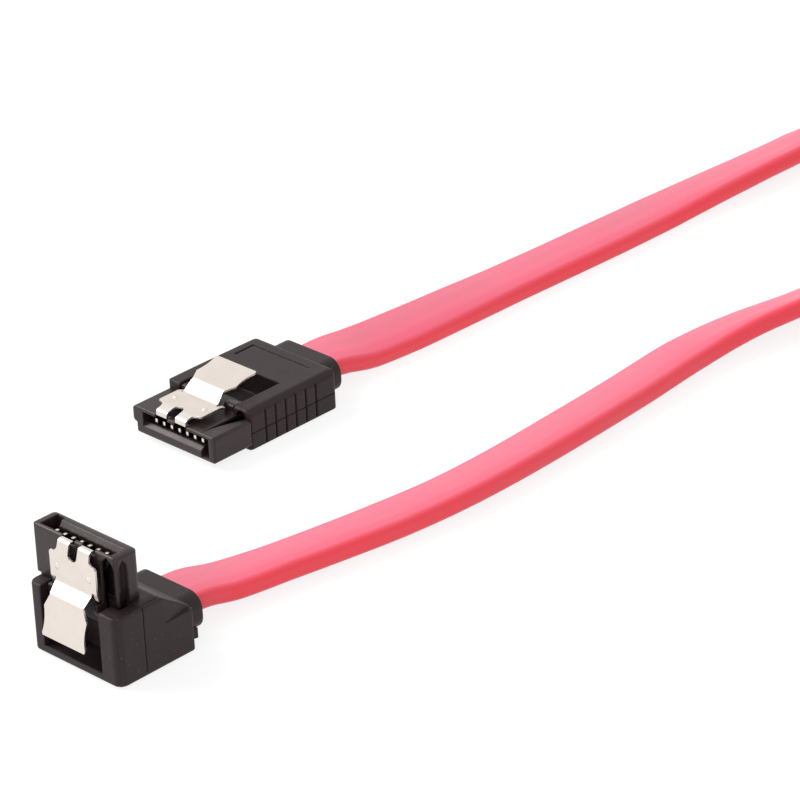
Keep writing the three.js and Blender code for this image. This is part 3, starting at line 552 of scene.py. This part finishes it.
def rolled_steel(name, colour, brushing):
    """Bright stainless strip with faint rolling lines along its length."""
    material, tree, shader = new_material(name, colour, roughness=0.27, metallic=1.0)
    place = add_node(tree, "ShaderNodeTexCoord").outputs["Object"]
    lines = drawn_noise(tree, place, *ROLLING_LINES)
    smudge = noise(tree, place, *SMUDGES)
    shades = ramp(tree, smudge, *(shade(colour, factor) for factor in STEEL_SHADES))
    rough = rescale(tree, lines, STEEL_LINES_RANGE, STEEL_ROUGHNESS)
    normal = bump(tree, lines, brushing, Normal=softened_edges(tree, STEEL_EDGE))
    link_finish(tree, shader, shades, rough, normal)
    return material


def gold_with_painted_highlight(name, colour, middle, depth_axis, tip, back):
    """Contact metal: a painted highlight on its tip's crown, and painted shade to its sides and
    back.
    """
    material, tree, shader = new_material(name, colour, roughness=0.25, metallic=1.0)
    place = add_node(tree, "ShaderNodeTexCoord").outputs["Object"]
    uneven = noise(tree, place, *PLATING_CLOUDS)
    plated = ramp(tree, uneven, *(shade(colour, factor) for factor in GOLD_SHADES))
    axes = add_node(tree, "ShaderNodeSeparateXYZ", Vector=place).outputs
    # Painted shade darkens the plating back from the tip, inside the slot.
    back_shade = rescale(tree, axes[depth_axis], (tip, back))
    # The middle of each contact lies half way between two whole pitches.
    first_pitch = WHOLE_PITCHES + 0.5 - middle / CONTACT_PITCH
    pitches = maths(tree, "MULTIPLY_ADD", axes["X"], 1 / CONTACT_PITCH, first_pitch)
    off_middle = maths(tree, "SUBTRACT", maths(tree, "FRACT", pitches), 0.5)
    # Painted highlight: only a narrow crown down the middle of each contact stays bright.
    side_shade = rescale(tree, maths(tree, "ABSOLUTE", off_middle), HIGHLIGHT_EDGE, (0.0, SHADE_BESIDE_CROWN))
    painted_shade = maths(tree, "MAXIMUM", back_shade, side_shade)
    colours = blend(tree, painted_shade, plated, shade(colour, PAINTED_SHADE_SHARE))
    link_finish(tree, shader, colours, rescale(tree, uneven, (0.0, 1.0), GOLD_ROUGHNESS))
    return material


def jacket_plastic(name, face, painted_half_shade, edge, half_width):
    """Soft red plastic, paler on its faces with painted sheen, with drawn-out lines and slight
    clouding.
    """
    material, tree, shader = new_material(name, face, roughness=0.42)
    for key, value in JACKET_SHADER.items():
        shader.inputs[key].default_value = value
    place = add_node(tree, "ShaderNodeTexCoord").outputs
    across = add_node(tree, "ShaderNodeSeparateXYZ", Vector=place["UV"]).outputs["X"]
    off_middle = maths(tree, "ABSOLUTE", across)
    # Painted sheen: the faces keep their pale colour out to where the edge colour starts.
    edgeward = rescale(tree, off_middle, (half_width * EDGE_FROM, half_width), smooth=True)
    # Painted shade gives the +X half of each face a less pale red.
    half_shade_mask = rescale(tree, across, tuple(half_width * share for share in SHADED_HALF_RANGE), smooth=True)
    faces = blend(tree, half_shade_mask, (*face, 1.0), (*painted_half_shade, 1.0))
    base = blend(tree, edgeward, faces, (*edge, 1.0))
    lines = drawn_noise(tree, place["UV"], *DRAWN_LINES)
    cloud = noise(tree, place["Object"], *JACKET_CLOUDS)
    mixed = maths(tree, "MULTIPLY_ADD", lines, LINES_IN_COLOUR, cloud)
    clouded = ramp(tree, mixed, CLOUDED, WHITE, CLOUDED_AT)
    colours = blend(tree, 1.0, base, clouded, "MULTIPLY")
    rough = rescale(tree, cloud, CLOUD_RANGE, JACKET_ROUGHNESS)
    grain = bump(tree, noise(tree, place["Object"], *JACKET_GRAIN), JACKET_GRAIN_HEIGHT)
    normal = bump(tree, lines, DRAWN_LINES_HEIGHT, Normal=grain)
    link_finish(tree, shader, colours, rough, normal)
    return material


def jacket_tree():
    """The node group that sweeps a flat jacket with a shallow valley along a curve."""
    tree = bpy.data.node_groups.new("flat_jacket_sweep", "GeometryNodeTree")
    face = tree.interface
    face.new_socket("Geometry", in_out="INPUT", socket_type="NodeSocketGeometry")
    for name in ("Width", "Thickness", "Corner", "Valley"):
        face.new_socket(name, in_out="INPUT", socket_type="NodeSocketFloat")
    face.new_socket("Material", in_out="INPUT", socket_type="NodeSocketMaterial")
    face.new_socket("Geometry", in_out="OUTPUT", socket_type="NodeSocketGeometry")
    given = tree.nodes.new("NodeGroupInput").outputs
    result = tree.nodes.new("NodeGroupOutput")

    # The section is a rectangle with rounded corners, its long sides along X.
    sides = {"Width": given["Width"], "Height": given["Thickness"]}
    oblong = add_node(tree, "GeometryNodeCurvePrimitiveQuadrilateral", **sides)
    corners = {"Curve": oblong.outputs[0], "Count": CORNER_STEPS, "Radius": given["Corner"]}
    rounded = add_node(tree, "GeometryNodeFilletCurve", {"mode": "POLY"}, **corners)
    points = {"Curve": rounded.outputs[0], "Length": SECTION_SPACING}
    spaced = add_node(tree, "GeometryNodeResampleCurve", {"mode": "LENGTH"}, **points)

    # The valley lies between the two conductor pairs, deepest at the middle of each face.
    position = add_node(tree, "GeometryNodeInputPosition").outputs[0]
    place = add_node(tree, "ShaderNodeSeparateXYZ", Vector=position).outputs
    share = maths(tree, "DIVIDE", place["X"], given["Width"])
    wave = maths(tree, "COSINE", maths(tree, "MULTIPLY", share, math.pi / VALLEY_REACH))
    bowl = maths(tree, "MULTIPLY_ADD", wave, 0.5, 0.5)
    depth = maths(tree, "MULTIPLY", given["Valley"], maths(tree, "SIGN", place["Y"]))
    dip = maths(tree, "MULTIPLY", maths(tree, "MULTIPLY", depth, bowl), -1.0)
    inside = maths(tree, "LESS_THAN", maths(tree, "ABSOLUTE", share), VALLEY_REACH)
    shift = add_node(tree, "ShaderNodeCombineXYZ", Y=maths(tree, "MULTIPLY", dip, inside))
    section = add_node(
        tree, "GeometryNodeSetPosition", i0=spaced.outputs[0], Offset=shift.outputs[0]
    )

    # Each point keeps how far across and along the jacket it lies, for the finish.
    across = add_node(tree, "GeometryNodeCaptureAttribute", i0=section.outputs[0])
    across.capture_items.new("FLOAT", "across")
    tree.links.new(share, across.inputs["across"])
    length = add_node(tree, "GeometryNodeSplineParameter")
    along = add_node(tree, "GeometryNodeCaptureAttribute", i0=given["Geometry"])
    along.capture_items.new("FLOAT", "along")
    tree.links.new(length.outputs["Length"], along.inputs["along"])
    sweep = {"Curve": along.outputs[0], "Profile Curve": across.outputs[0], "Fill Caps": True}
    swept = add_node(tree, "GeometryNodeCurveToMesh", **sweep)
    flat = maths(tree, "MULTIPLY", across.outputs["across"], given["Width"])
    uv = add_node(tree, "ShaderNodeCombineXYZ", X=flat, Y=along.outputs["along"])
    mapped = add_node(
        tree,
        "GeometryNodeStoreNamedAttribute",
        {"data_type": "FLOAT2", "domain": "CORNER"},
        Geometry=swept.outputs[0],
        Name="UVMap",
        Value=uv.outputs[0],
    )
    smooth = add_node(tree, "GeometryNodeSetShadeSmooth", i0=mapped.outputs[0])
    real = add_node(tree, "GeometryNodeRealizeInstances", i0=smooth.outputs[0])
    dressed = {"Geometry": real.outputs[0], "Material": given["Material"]}
    finished = add_node(tree, "GeometryNodeSetMaterial", **dressed)
    tree.links.new(finished.outputs[0], result.inputs[0])
    return tree


def route_curve(points, angles):
    """The jacket's middle line as a curve whose tilt carries the jacket's turn."""
    curve = bpy.data.curves.new("jacket_route", "CURVE")
    curve.dimensions = "3D"
    curve.twist_mode = "Z_UP"
    spline = curve.splines.new("POLY")
    spline.points.add(len(points) - 1)
    for point, place, angle in zip(spline.points, points, angles):
        point.co = (*place, 1.0)
        point.tilt = -angle
    return curve


def round_corners(built, walls):
    """Cut a mesh in strips along its outer walls and draw in what lies near two or more of them."""
    walls = [
        (
            Vector(place) / PER_METRE,
            Vector(out).normalized(),
            reach / PER_METRE,
            sum(proud) / PER_METRE,
        )
        for place, out, reach, *proud in walls
    ]
    for place, out, reach, _ in walls:
        for share in ROUNDING_CUTS:
            bmesh.ops.bisect_plane(
                built,
                geom=[*built.verts, *built.edges, *built.faces],
                dist=CUT_TOLERANCE,
                plane_co=place - out * reach * share,
                plane_no=out,
            )
    for vert in built.verts:
        near = [max(0.0, 1 + (vert.co - place).dot(out) / reach) for place, out, reach, _ in walls]
        spread = math.hypot(*near)
        if spread == 0.0:
            continue
        drawn = 1 - max(near) / spread
        for (_, out, reach, proud), share in zip(walls, near):
            vert.co += out * (proud * min(share, 1.0) - reach * share * drawn)
    bmesh.ops.remove_doubles(built, verts=built.verts, dist=CUT_WELD_DISTANCE)
    bmesh.ops.dissolve_degenerate(built, dist=CUT_WELD_DISTANCE, edges=built.edges)


def own_copy(node, name, material):
    """A merged copy of a CAD node's mesh, with rounded corners, smooth curves and flat flats."""
    built = bmesh.new()
    built.from_mesh(frame["nodes"][node].data)
    bmesh.ops.remove_doubles(built, verts=built.verts, dist=WELD_DISTANCE)
    if node in OUTER_WALLS:
        round_corners(built, OUTER_WALLS[node])
    bmesh.ops.dissolve_limit(
        built,
        angle_limit=FLAT_ANGLE,
        verts=built.verts,
        edges=built.edges,
        delimit={"NORMAL"},
    )
    for polygon in built.faces:
        polygon.smooth = True
        polygon.material_index = 0
    for edge in built.edges:
        edge.smooth = edge.calc_face_angle(0.0) < SMOOTH_ANGLE
    merged = bpy.data.meshes.new(name)
    built.to_mesh(merged)
    built.free()
    merged.materials.append(material)
    carrier = bpy.data.objects.new(name, merged)
    bpy.context.scene.collection.objects.link(carrier)
    flats = carrier.modifiers.new("flats", "WEIGHTED_NORMAL")
    flats.keep_sharp = True
    flats.weight = FLATS_WEIGHT
    evaluated = carrier.evaluated_get(bpy.context.evaluated_depsgraph_get())
    mesh = bpy.data.meshes.new_from_object(evaluated)
    bpy.data.objects.remove(carrier)
    bpy.data.meshes.remove(merged)
    mesh.name = name
    return add_piece(name, mesh, node)


def add_piece(name, mesh, node):
    """An object at the origin that stands for a CAD node and rides on its body."""
    piece = bpy.data.objects.new(name, mesh)
    bpy.context.scene.collection.objects.link(piece)
    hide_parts(node)
    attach(piece, frame["nodes"][node]["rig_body"])
    return piece


class DATACABLE_OT_stage(bpy.types.Operator):
    """Set the camera at the photograph's angle, with soft light and a pale floor"""

    bl_idname = "datacable.stage"
    bl_label = "Stage"

    def execute(self, context):
        s = context.scene.datacable_stage
        back = Vector(
            (
                math.sin(s.azimuth) * math.cos(s.elevation),
                -math.cos(s.azimuth) * math.cos(s.elevation),
                math.sin(s.elevation),
            )
        )
        level = Vector((math.cos(s.azimuth), math.sin(s.azimuth), 0.0))
        upright = back.cross(level)
        right = math.cos(s.roll) * level + math.sin(s.roll) * upright
        up = back.cross(right)
        lens = bpy.data.cameras.new("camera")
        lens.sensor_width = SENSOR_WIDTH
        lens.lens = s.lens
        lens.clip_start, lens.clip_end = CLIP_RANGE
        camera = bpy.data.objects.new("camera", lens)
        context.scene.collection.objects.link(camera)
        turned = Matrix((right, up, back)).transposed().to_4x4()
        camera.matrix_world = Matrix.Translation(Vector(s.aim) + back * s.distance) @ turned
        context.scene.camera = camera
        self.light(context, s)
        self.floor(context, s)
        context.scene.view_settings.view_transform = "Standard"
        return {"FINISHED"}

    def light(self, context, s):
        world = bpy.data.worlds.new("pale_surround")
        world.use_nodes = True
        context.scene.world = world
        tree = world.node_tree
        sky = tree.nodes["Background"]
        sky.inputs["Color"].default_value = WHITE
        sky.inputs["Strength"].default_value = s.sky
        seen = add_node(tree, "ShaderNodeBackground", Color=WHITE, Strength=1.0)
        mix = mix_shaders(tree, seen_by_eye(tree), sky.outputs[0], seen.outputs[0])
        tree.links.new(mix, tree.nodes["World Output"].inputs["Surface"])
        for name, place, width, share in LAMPS:
            data = bpy.data.lights.new(name, "AREA")
            data.shape = "DISK"
            data.size = width
            data.energy = s.lamp_power * share
            lamp = bpy.data.objects.new(name, data)
            context.scene.collection.objects.link(lamp)
            turned = (LAMP_AIM - Vector(place)).to_track_quat("-Z", "Y").to_matrix().to_4x4()
            lamp.matrix_world = Matrix.Translation(place) @ turned

    def floor(self, context, s):
        material = bpy.data.materials.new("pale_floor")
        material.use_nodes = True
        tree = material.node_tree
        tree.nodes.remove(tree.nodes["Principled BSDF"])
        matt = add_node(tree, "ShaderNodeBsdfDiffuse", Color=(*s.floor_colour, 1.0))
        half_matt = add_node(tree, "ShaderNodeBsdfDiffuse", Color=FLOOR_MATT)
        glow = add_node(tree, "ShaderNodeEmission", Color=WHITE, Strength=FLOOR_GLOW)
        pale = add_node(tree, "ShaderNodeAddShader", i0=half_matt.outputs[0], i1=glow.outputs[0])
        mix = mix_shaders(tree, seen_by_eye(tree), matt.outputs[0], pale.outputs[0])
        tree.links.new(mix, tree.nodes["Material Output"].inputs["Surface"])
        mesh = bpy.data.meshes.new("floor")
        half = s.floor_size / 2
        signs = ((-1, -1), (1, -1), (1, 1), (-1, 1))
        corners = [(x * half, y * half, -FLOOR_DROP) for x, y in signs]
        mesh.from_pydata(corners, [], [(0, 1, 2, 3)])
        mesh.materials.append(material)
        floor = bpy.data.objects.new("floor", mesh)
        context.scene.collection.objects.link(floor)


def mix_shaders(tree, factor, first, second):
    """The result of a Mix Shader node."""
    return add_node(tree, "ShaderNodeMixShader", Fac=factor, i1=first, i2=second).outputs[0]


def seen_by_eye(tree):
    """1 for what the camera sees straight, in a reflection or through something clear."""
    rays = add_node(tree, "ShaderNodeLightPath").outputs
    first = maths(tree, "MAXIMUM", rays["Is Camera Ray"], rays["Is Glossy Ray"])
    return maths(tree, "MAXIMUM", first, rays["Is Transmission Ray"])


class DATACABLE_OT_jacket(bpy.types.Operator):
    bl_idname = "datacable.jacket"
    bl_label = "Jacket"

    def execute(self, context):
        s = context.scene.datacable_jacket
        points, angles = jacket_line(s.overlap)
        route = bpy.data.objects.new("jacket_route", route_curve(points, angles))
        context.scene.collection.objects.link(route)
        tree = jacket_tree()
        sweep = route.modifiers.new("sweep", "NODES")
        sweep.node_group = tree
        values = {
            "Width": s.width,
            "Thickness": s.thickness,
            "Corner": s.corner,
            "Valley": s.valley,
            "Material": jacket_plastic(
                "jacket_red_plastic",
                tuple(s.sheened_face_colour),
                tuple(s.shaded_half_colour),
                tuple(s.edge_colour),
                s.width / 2,
            ),
        }
        for item in tree.interface.items_tree:
            if item.in_out == "INPUT" and item.name in values:
                sweep[item.identifier] = values[item.name]
        evaluated = route.evaluated_get(context.evaluated_depsgraph_get())
        mesh = bpy.data.meshes.new_from_object(evaluated)
        mesh.name = "jacket"
        bpy.data.objects.remove(route)
        jacket = add_piece("jacket", mesh, "cable_jacket")
        path = [*points[::PATH_STRIDE], points[-1]]
        context.scene["jacket_points"] = [list(point) for point in path]
        return {"FINISHED"}


class DATACABLE_OT_plastics(bpy.types.Operator):
    """Give the overmoulds and the contact housings their moulded finish"""

    bl_idname = "datacable.plastics"
    bl_label = "Moulded Plastics"

    def execute(self, context):
        s = context.scene.datacable_plastic
        body = moulded_plastic(
            "overmould_black", tuple(s.body_colour), *BODY_FINISH, s.grain, s.edge
        )
        nose = moulded_plastic(
            "housing_black",
            tuple(s.nose_colour),
            *NOSE_FINISH,
            s.grain * NOSE_GRAIN_SHARE,
            s.edge * NOSE_EDGE_SHARE,
        )
        for plug in PLUGS:
            own_copy(f"{plug}_overmould", f"{plug}_body", body)
            own_copy(f"{plug}_contact_housing", f"{plug}_nose", nose)
        return {"FINISHED"}


class DATACABLE_OT_metals(bpy.types.Operator):
    """Give the latches and the contacts their metal finish"""

    bl_idname = "datacable.metals"
    bl_label = "Metal Parts"

    def execute(self, context):
        s = context.scene.datacable_metal
        steel = rolled_steel("latch_steel", tuple(s.steel_colour), s.brushing)
        for plug in PLUGS:
            gold = gold_with_painted_highlight(
                f"{plug}_contact_gold",
                tuple(s.gold_colour),
                MIDDLE_CONTACT[plug],
                *TIP_TO_BACK[plug],
            )
            own_copy(f"{plug}_latch_spring", f"{plug}_latch", steel)
            for i in range(1, CONTACTS + 1):
                node = frame["nodes"][f"{plug}_contact_{i}"]
                node.data.materials.clear()
                node.data.materials.append(gold)
        return {"FINISHED"}


class DATACABLE_OT_cord(bpy.types.Operator):
    bl_idname = "datacable.cord"
    bl_label = "Declare the Cord"

    def execute(self, context):
        ends = ["angled_body", "angled_nose", "angled_latch"]
        ends += [frame["nodes"][f"angled_contact_{i}"] for i in range(1, CONTACTS + 1)]
        return {"FINISHED"}


class DATACABLE_PT_panel(bpy.types.Panel):
    """The cable's sizes, colours and steps"""

    bl_label = "Data Cable"
    bl_space_type = "VIEW_3D"
    bl_region_type = "UI"
    bl_category = "Data Cable"

    def draw(self, context):
        scene = context.scene
        for title, settings, operators in (
            ("Stage", scene.datacable_stage, ("datacable.stage",)),
            ("Jacket", scene.datacable_jacket, ("datacable.jacket", "datacable.cord")),
            ("Plastics", scene.datacable_plastic, ("datacable.plastics",)),
            ("Metals", scene.datacable_metal, ("datacable.metals",)),
        ):
            box = self.layout.box()
            box.label(text=title)
            for name in settings.__annotations__:
                box.prop(settings, name)
            for operator in operators:
                box.operator(operator)


CLASSES = (
    StageSettings,
    JacketSettings,
    PlasticSettings,
    MetalSettings,
    DATACABLE_OT_stage,
    DATACABLE_OT_jacket,
    DATACABLE_OT_plastics,
    DATACABLE_OT_metals,
    DATACABLE_OT_cord,
    DATACABLE_PT_panel,
)


def register():
    for item in CLASSES:
        bpy.utils.register_class(item)
    bpy.types.Scene.datacable_stage = PointerProperty(type=StageSettings)
    bpy.types.Scene.datacable_jacket = PointerProperty(type=JacketSettings)
    bpy.types.Scene.datacable_plastic = PointerProperty(type=PlasticSettings)
    bpy.types.Scene.datacable_metal = PointerProperty(type=MetalSettings)


def unregister():
    del bpy.types.Scene.datacable_metal
    del bpy.types.Scene.datacable_plastic
    del bpy.types.Scene.datacable_jacket
    del bpy.types.Scene.datacable_stage
    for item in reversed(CLASSES):
        bpy.utils.unregister_class(item)


def main():
    register()
    bpy.ops.datacable.stage()
    bpy.ops.datacable.jacket()
    bpy.ops.datacable.plastics()
    bpy.ops.datacable.metals()
    bpy.ops.datacable.cord()


if __name__ == "__main__":
    main()
